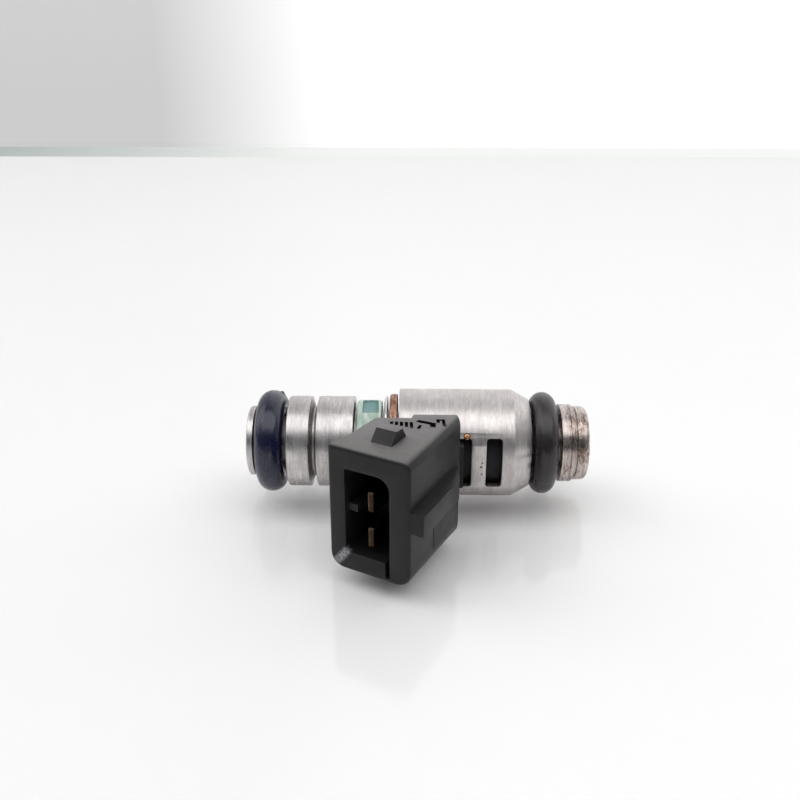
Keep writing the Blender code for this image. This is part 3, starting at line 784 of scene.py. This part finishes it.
def sealing_ring(name, node, finish, spots=()):
    """An O-ring with the fine parting line of its mould around the outside."""
    low, high = span(node)
    middle = (low + high) / 2
    half = (high - low) / 2
    outline = []
    count = 60
    for k in range(count):
        turn = 2 * math.pi * k / count
        across, out = half * math.cos(turn), ORING_TUBE_R * math.sin(turn)
        if k == count // 4:
            out -= PARTING_DEPTH
        outline.append((middle + across, ORING_R + out))
    obj = lathe(name, outline, finish.material, RING_STEPS, spots)
    smooth(obj.data, 180.0)
    keep(obj, node)


inlet_piece()
sealing_ring("inlet_seal_ring", "inlet_oring", blue_rubber, [RING_NUB])
sealing_ring("nozzle_seal_ring", "nozzle_oring", black_rubber)


# ---------------------------------------------------------------- rings between the collar and the can


def marker_piece():
    start, end = MARKER
    corners = [
        (start, RING_BORE_R, 0),
        (start, MARKER_R, 0.32),
        (end, MARKER_R, 0.3),
        (end, RING_BORE_R, 0),
    ]
    obj = lathe("marker_collar", rounded(corners), mint_plastic.material)
    left, right = POCKET_X
    outline = [(left, -POCKET_HALF), (right, -POCKET_HALF)]
    outline += [(right - POCKET_SKEW, POCKET_HALF), (left, POCKET_HALF)]
    pocket = slab("pocket", outline, POCKET_FLOOR, CAN_R, on_axis, rounding=[(0.2, 3, through)])
    combine(obj, [pocket], "DIFFERENCE")
    soften(obj, 0.06)
    keep(obj, "marker_ring")


def ring_pieces():
    start, end = RETAINER
    along, in_r = RETAINER_CHAMFER
    corners = [
        (start, RING_BORE_R, 0),
        (start, RETAINER_R - in_r, 0.08),
        (start + along, RETAINER_R, 0.08),
        (end, RETAINER_R, 0.05),
        (end, RING_BORE_R, 0),
    ]
    obj = lathe("bright_retainer", rounded(corners), bright_steel.material)
    keep(obj, "retaining_ring")

    start, end = WASHER
    corners = [
        (start, RING_BORE_R, 0),
        (start, WASHER_R, WASHER_ROUND),
        (end, WASHER_R, 0.08),
        (end, RING_BORE_R, 0),
    ]
    obj = lathe("plated_washer", rounded(corners), copper_plate.material)
    keep(obj, "flux_washer")


marker_piece()
ring_pieces()


# ---------------------------------------------------------------- can and coil


def beside_axis(x, z, y):
    return on_axis(x, y, z)


def window_cutter(name, start, end):
    outline = oblong(start, end, -WINDOW_HALF, WINDOW_HALF)
    return slab(name, outline, *WINDOW_CUT_Y, beside_axis, rounding=[(WINDOW_CORNER, 5, through)])


def radial_point(x, radius, angle):
    turn = math.radians(angle)
    return on_axis(x, -radius * math.cos(turn), radius * math.sin(turn))


def can_piece():
    corners = [
        (0, CAN_BORE_R, 0.1),
        (0, CAN_R, 0.16),
        (CAN_TAPER_START, CAN_R, 0.08),
        (CAN_END, CAN_END_R, 0.1),
        (CAN_END, CAN_MOUTH_R, 0.1),
        (CAN_FLOOR, CAN_MOUTH_R, 0),
        (CAN_FLOOR, CAN_BORE_R, 0.2),
    ]
    obj = lathe("windowed_can", rounded(corners), can_steel.material, CAN_STEPS, CAN_NICKS)
    cutters = [window_cutter(f"window_{i}", *window) for i, window in enumerate(WINDOWS)]
    notch_start = radial_point(WIRE_X, CAN_BORE_R - 0.6, WIRE_ANGLE)
    notch_end = radial_point(WIRE_X, CAN_R + 1.0, WIRE_ANGLE)
    cutters.append(rod("notch", notch_start, notch_end, WIRE_R + 0.08))
    combine(obj, cutters, "DIFFERENCE")

    # The strip between the windows is pressed in until it is flat.
    strip_start, strip_end = WINDOWS[0][1] - 0.01, WINDOWS[1][0] + 0.01
    for vert in obj.data.vertices:
        x, y, z = (vert.co - AXIS) / MM
        if strip_start < x < strip_end and y < 0 and abs(z) < WINDOW_HALF:
            level = STRIP_FLAT - (CAN_R - math.hypot(y, z))
            vert.co.y = max(vert.co.y, AXIS.y - level * MM)
    soften(obj, 0.07)
    pits = []
    for i, (x, z, radius) in enumerate(STRIP_PITS):
        mouth, floor = on_axis(x, -STRIP_FLAT - 1, z), on_axis(x, -STRIP_FLAT + PIT_DEPTH, z)
        pits.append(rod(f"pit_{i}", mouth, floor, radius, 12))
    combine(obj, pits, "DIFFERENCE")
    smooth(obj.data, SHARP_SOFT)
    keep(obj, "outer_can")


def coil_pieces():
    start, end = OVERMOULD
    corners = [
        (start, OVERMOULD_R[0], 0),
        (start, OVERMOULD_R[1], 0.1),
        (end, OVERMOULD_R[1], 0.1),
        (end, OVERMOULD_R[0], 0),
    ]
    obj = lathe("moulded_coil_cover", rounded(corners), coil_plastic.material)
    keep(obj, "coil_overmould")

    low = radial_point(WIRE_X, OVERMOULD_R[1] + GAP, WIRE_ANGLE)
    high = radial_point(WIRE_X, CAN_R + 0.12, WIRE_ANGLE)
    wire = rod("wire_stub", low, high, WIRE_R, 20, copper_wire.material)
    soften(wire, 0.16, 4)
    keep(wire, "coil_wire_end")


can_piece()
coil_pieces()


# ---------------------------------------------------------------- nozzle


def nozzle_piece():
    bore = VALVE_BORE_R + 0.2
    can_gap = CAN_MOUTH_R - GAP
    corners = [
        (NOZZLE_TOP, bore, 0),
        (NOZZLE_TOP, CORE_R, 0),
        (NOZZLE_SHOULDER, CORE_R, 0),
        (NOZZLE_SHOULDER, can_gap, 0),
        (CAN_END, can_gap, 0.1),
        (CAN_END, RING_GROOVE_R, 0),
        (ORING_SHOULDER, RING_GROOVE_R, 0),
        (ORING_SHOULDER, TIP_R, 0.15),
        (TIP_GROOVE_START, TIP_R, 0.04),
        (TIP_GROOVE_START + 0.05, TIP_R - TIP_GROOVE_DEPTH, 0.03),
        (TIP_GROOVE_END - 0.08, TIP_R - TIP_GROOVE_DEPTH, 0.03),
        (TIP_GROOVE_END, TIP_R, 0.05),
        (TIP_STEP, TIP_R, 0.1),
        (TIP_STEP + 0.1, TIP_R - TIP_NECK_DEPTH, 0.06),
        (TIP_STEP + 0.35, TIP_R - TIP_NECK_DEPTH, 0.06),
        (TIP_STEP + 0.5, TIP_END_R, 0.08),
        (SPRAY_END, TIP_END_R, TIP_ROUND),
        (SPRAY_END, VALVE_BORE_R, 0.12),
        (NOZZLE_SHOULDER, VALVE_BORE_R, 0),
        (NOZZLE_SHOULDER, bore, 0),
    ]
    obj = lathe("stepped_nozzle", rounded(corners), nozzle_steel.material)
    keep(obj, "nozzle_body")


nozzle_piece()


# ---------------------------------------------------------------- connector


def from_side(v, z, u):
    return in_mouth(u, v, z)


def from_front(u, z, v):
    return in_mouth(u, v, z)


def shell_block():
    """The connector's block, with its edges rounded as they run back from the mouth."""
    back_left, back_middle, back_right = SHELL_BACK_X
    outline = [(MOUTH_LEFT, 0), (MOUTH_RIGHT, 0), SHELL_RIGHT_BEND]
    outline += [mouth_uv(back_right, SHELL_BACK_Y), mouth_uv(SHELL_PAD_X[1], SHELL_PAD_Y)]
    outline += [mouth_uv(SHELL_PAD_X[0], SHELL_PAD_Y), mouth_uv(back_middle, SHELL_BACK_Y)]
    outline += [mouth_uv(back_left, SHELL_BACK_Y), SHELL_LEFT_BEND]

    def runs_deep(p, q):
        return abs(p.z - q.z) < SAME and abs((q - p).normalized().y) > 0.75

    def lower(p, q):
        return runs_deep(p, q) and p.z < 0

    def upper_right(p, q):
        return runs_deep(p, q) and p.z > 0 and (p.x + q.x) / 2 > 4.0

    def upper_left(p, q):
        return runs_deep(p, q) and p.z > 0 and p.x + q.x < 0

    def front(p, q):
        return abs(p.y) < SAME and abs(q.y) < SAME

    rounding = [
        (SHELL_LOWER_ROUND, 8, lower),
        (SHELL_UPPER_RIGHT_ROUND, 6, upper_right),
        (SHELL_UPPER_LEFT_ROUND, 3, upper_left),
        (SHELL_FRONT_ROUND, 4, front),
    ]
    return slab(
        "connector_shell", outline, SHELL_BOTTOM, SHELL_TOP, in_mouth, black_plastic.material, rounding
    )


def shell_additions():
    """The latch ramp, the side rib and the neck with its pad over the coil."""
    ramp_start, ramp_end = RAMP_V
    foot = SHELL_TOP - OVERLAP
    outline = [(ramp_start, foot), (ramp_start, SHELL_TOP), (RAMP_CREST_V[0], RAMP_CREST[0])]
    outline += [(RAMP_CREST_V[1], RAMP_CREST[1]), (ramp_end, SHELL_TOP), (ramp_end, foot)]
    yield slab("ramp", outline, *RAMP_U, from_side)

    root_u, root_v = RIB_ROOT
    outline = [(root_u, RIB_FRONT), (RIB_RIGHT, RIB_FRONT), RIB_RIGHT_BEND]
    outline += [mouth_uv(*RIB_BACK), (root_u, root_v)]
    yield slab("rib", outline, *RIB_Z, in_mouth)

    yield slab("neck", oblong(*NECK_X, -NECK_HALF, NECK_HALF), *NECK_Y, beside_axis)
    pad_y = -(OVERMOULD_R[1] + GAP)
    yield slab("neck_pad", oblong(*NECK_PAD_X, -NECK_HALF, NECK_HALF), NECK_PAD_FRONT, pad_y, beside_axis)


def shell_cutters():
    """The socket, the groove in its rim, the crease on the right side and the slots for the blades."""

    def large_corner(p, q):
        return through(p, q) and p.x > 0 and p.y > 0

    def small_corner(p, q):
        return through(p, q) and not large_corner(p, q)

    corners = [(SOCKET_LARGE_CORNER, 8, large_corner), (SOCKET_CORNER, 4, small_corner)]
    ahead = -2.0
    yield slab("socket", oblong(*SOCKET_U, *SOCKET_Z), ahead, SOCKET_DEPTH, from_front, rounding=corners)
    yield slab("groove", oblong(*RIM_GROOVE_U, *RIM_GROOVE_Z), ahead, RIM_GROOVE_DEPTH, from_front)

    crease_u, crease_v = SHELL_RIGHT_BEND
    across = (crease_u - CREASE_DEPTH, crease_u + 0.5)
    crease = oblong(*across, crease_v - CREASE_HALF, crease_v + CREASE_HALF)
    yield slab("crease", crease, CREASE_BOTTOM, 0.0, in_mouth)

    half_t, half_w = BLADE_T / 2 + GAP, BLADE_W / 2 + GAP
    for side in (-1, 1):
        middle = side * BLADE_PITCH / 2
        outline = oblong(-half_t, half_t, middle - half_w, middle + half_w)
        yield slab(f"slot_{side}", outline, SOCKET_DEPTH - 1, BLADE_ROOT + GAP, from_front)


def shell_piece():
    shell = shell_block()
    combine(shell, list(shell_additions()), "UNION")
    combine(shell, list(shell_cutters()), "DIFFERENCE")
    left = SOCKET_U[0]
    key = slab("key", oblong(left - OVERLAP, left + KEY_W, *KEY_Z), *KEY_V, from_front)
    combine(shell, [key], "UNION")
    soften(shell, 0.2, 3, SHARP_TURNED)
    combine(shell, mould_marks(), "DIFFERENCE")
    smooth(shell.data, SHARP_SOFT)
    keep(shell, "connector_housing")


def blade_pieces():
    deep, across = BLADE_CHAMFER
    half_w, half_t = BLADE_W / 2, BLADE_T / 2

    def tip_flanks(p, q):
        return abs(p.x - BLADE_TIP) < SAME and abs(q.x - BLADE_TIP) < SAME and abs(p.z - q.z) < SAME

    flanks = [(BLADE_FLANK, 1, tip_flanks)]
    for name, side in (("upper", 1), ("lower", -1)):
        middle = side * BLADE_PITCH / 2
        bottom, top = middle - half_w, middle + half_w
        outline = [(BLADE_TIP, bottom + across), (BLADE_TIP, top - across), (BLADE_TIP + deep, top)]
        outline += [(BLADE_ROOT, top), (BLADE_ROOT, bottom), (BLADE_TIP + deep, bottom)]
        brass = terminal_brass.material
        blade = slab(f"blade_{name}", outline, -half_t, half_t, from_side, brass, flanks)
        soften(blade, 0.06, 2, SHARP_TURNED)
        keep(blade, f"terminal_blade_{name}")


def mould_marks():
    """Cutters for the marks sunk in the connector's top."""
    marks = []
    for k in range(MARK_ROW_COUNT):
        x = MARK_ROW_START + MARK_ROW_STEP * k
        top, bottom = (x, MARK_ROW_TOP - 0.04 * k), (x + 0.02 * k, MARK_ROW_BOTTOM - 0.3 * k)
        marks.append((MARK_HALF, (top, bottom)))
    cutters = []
    for i, (half, corners) in enumerate((*marks, *MARKS)):
        for k, (start, end) in enumerate(zip(corners, corners[1:])):
            start, end = Vector(start), Vector(end)
            way = (end - start).normalized() * half
            side = Vector((-way.y, way.x))
            # Bars of one mark differ a little in length and height, so that none of their faces coincide.
            way *= 1 - 0.06 * k
            uneven = 0.03 * k
            outline = [start - way - side, end + way - side, end + way + side, start - way + side]
            outline = [mouth_uv(*corner) for corner in outline]
            low, high = SHELL_TOP - MARK_DEPTH - uneven, SHELL_TOP + 1 + uneven
            cutters.append(slab(f"mark_{i}_{k}", outline, low, high, in_mouth))
    return cutters


shell_piece()
blade_pieces()


# ---------------------------------------------------------------- inner pieces keep their CAD shape

INNER = {
    "inlet_filter_frame": filter_plastic,
    "inlet_filter_mesh": filter_screen,
    "adjusting_sleeve": inner_steel,
    "coil_bobbin": bobbin_plastic,
    "coil_winding": copper_wire,
    "spacer_ring": inner_steel,
    "valve_seat": inner_steel,
    "ball_guide": inner_steel,
    "orifice_plate": inner_steel,
    "plate_retainer": inner_steel,
    "armature": inner_steel,
    "valve_needle": inner_steel,
    "valve_ball": ball_steel,
    "return_spring": spring_steel,
}
for node_name, finish in INNER.items():
    node = frame["nodes"][node_name]
    node.data.materials.clear()
    node.data.materials.append(finish.material)


# ---------------------------------------------------------------- floor, backdrop, light and camera


# The table, in metres: how far it reaches behind and in front of the injector and to each side.
TABLE_FAR = 0.387
TABLE_NEAR = -1.5
TABLE_HALF = 1.8
GLASS_DEPTH = 2.6 * MM
GLASS_SHINE = 0.09
GLASS_RIM = 0.034
WALL_Y = 0.75
WALL_HALF = 3.0
WALL_Z = (-0.6, 3.5)

# Along the axis, in millimetres, the wall's glow and the painted light on the glass edge go from dim at
# the left to bright.
DIM_X = -230.0
BRIGHT_X = -60.0
DIM_LEFT = 0.5
WALL_FADE_Z = (700.0, 2200.0)
DIM_TOP = 0.6

AIR = (0.88, 0.94, 1.0, 1.0)
AIR_STRENGTH = 0.10

# Soft lights: place, what it faces and size in metres, and power in watts.
LIGHTS = {
    "overhead": ((0.0, -0.376, 1.0), (0, -0.376, 0), (2.4, 0.93), 13.2),
    "window": ((1.3, 0.25, 0.85), (0, 0, 0), (1.6, 1.6), 3.2),
    "left_panel": ((-1.3, 0.5, 0.9), (0, 0, 0), (1.6, 1.6), 11.0),
}

CAMERA_PLACE = (2.380, -120.295, 57.873)
CAMERA_DOWN = 23.12
CAMERA_YAW = -1.10
LENS = 41.4
SENSOR = 36.0


def flat_sheet(name, corners, finish):
    mesh = bpy.data.meshes.new(name)
    mesh.from_pydata(corners, [], [(0, 1, 2, 3)])
    new_object(name, mesh, finish.material)


def level_sheet(name, near, height, finish):
    """A sheet over the table's width, from near to the table's far edge."""
    left, right = -TABLE_HALF, TABLE_HALF
    corners = [(left, near), (right, near), (right, TABLE_FAR), (left, TABLE_FAR)]
    flat_sheet(name, [(x, y, height) for x, y in corners], finish)


def table():
    """A glass plate on a white board, with the greenish edge of the glass at the back."""
    board = Finish("white_board")
    cloud = board.noise(board.place(), 0.02, 3.0)
    board.set(Base_Color=board.mix(cloud, (0.93, 0.925, 0.92), (0.96, 0.955, 0.95)), Roughness=0.8)
    level_sheet("board", TABLE_NEAR, -GLASS_DEPTH, board)

    glass = Finish("glass_plate")
    clear = glass.node("ShaderNodeBsdfTransparent")
    smear = glass.noise(glass.place(), 0.05, 4.0)
    shine = glass.node("ShaderNodeBsdfGlossy", {"Roughness": glass.remap(smear, 0.3, 0.7, 0.10, 0.20)})
    both = glass.node("ShaderNodeMixShader", {0: GLASS_SHINE, 1: clear.outputs[0], 2: shine.outputs[0]})
    glass.tree.links.new(both.outputs[0], glass.tree.nodes["Material Output"].inputs["Surface"])
    level_sheet("glass", TABLE_NEAR, 0.0, glass)

    rim = Finish("glass_edge")
    tone = rim.noise(rim.place(), 0.01, 2.0)
    # Painted light: the greenish glass edge is painted near white towards the right, where more light
    # falls on it.
    side = rim.band(rim.split(rim.place())[0], DIM_X, BRIGHT_X)
    shaded = rim.mix(tone, (0.36, 0.43, 0.41), (0.42, 0.49, 0.47))
    rim.set(Base_Color=rim.mix(side, shaded, (0.93, 0.95, 0.91)), Roughness=0.4)
    level_sheet("glass_rim", TABLE_FAR - GLASS_RIM, -GLASS_DEPTH + 0.05 * MM, rim)


def back_wall():
    """A wall behind the table that glows, dimmer at the left and towards its top, in place of a lit wall.
    """
    wall = Finish("back_wall")
    place = wall.split(wall.place())
    tone = wall.noise(wall.place(), 0.004, 2.0)
    wall.set(Base_Color=wall.mix(tone, (0.26, 0.26, 0.26), (0.30, 0.30, 0.30)), Roughness=0.7)
    across = wall.remap(place[0], DIM_X, BRIGHT_X, DIM_LEFT, 1.0)
    glow = wall.product(across, wall.remap(place[2], *WALL_FADE_Z, 1.0, DIM_TOP))
    # The wall's brightness is its own glow, not light from a lamp.
    wall.set(Emission_Color=(1.0, 1.0, 1.0), Emission_Strength=glow)
    corners = [(-WALL_HALF, 0), (WALL_HALF, 0), (WALL_HALF, 1), (-WALL_HALF, 1)]
    flat_sheet("wall", [(x, WALL_Y, WALL_Z[top]) for x, top in corners], wall)


def dim_room():
    world = bpy.data.worlds.new("studio")
    bpy.context.scene.world = world
    world.use_nodes = True
    background = world.node_tree.nodes["Background"]
    background.inputs["Color"].default_value = AIR
    background.inputs["Strength"].default_value = AIR_STRENGTH


def soft_light(name, place, target, size, power):
    light = bpy.data.lights.new(name, "AREA")
    light.shape = "RECTANGLE"
    light.size, light.size_y = size
    light.energy = power
    obj = bpy.data.objects.new(name, light)
    bpy.context.scene.collection.objects.link(obj)
    obj.location = place
    obj.rotation_euler = (Vector(target) - Vector(place)).to_track_quat("-Z", "Y").to_euler()


def camera():
    """The camera, in front of the connector and looking down at it, a little from the right."""
    data = bpy.data.cameras.new("camera")
    data.lens = LENS
    data.sensor_width = SENSOR
    data.clip_start = 0.005
    obj = bpy.data.objects.new("camera", data)
    bpy.context.scene.collection.objects.link(obj)
    down, yaw = math.radians(CAMERA_DOWN), math.radians(CAMERA_YAW)
    forward = Vector((math.sin(yaw) * math.cos(down), math.cos(yaw) * math.cos(down), -math.sin(down)))
    obj.location = on_axis(*CAMERA_PLACE)
    obj.rotation_euler = forward.to_track_quat("-Z", "Y").to_euler()
    bpy.context.scene.camera = obj


table()
back_wall()
dim_room()
for light_name, light_values in LIGHTS.items():
    soft_light(light_name, *light_values)
camera()
bpy.context.scene.view_settings.view_transform = "Standard"
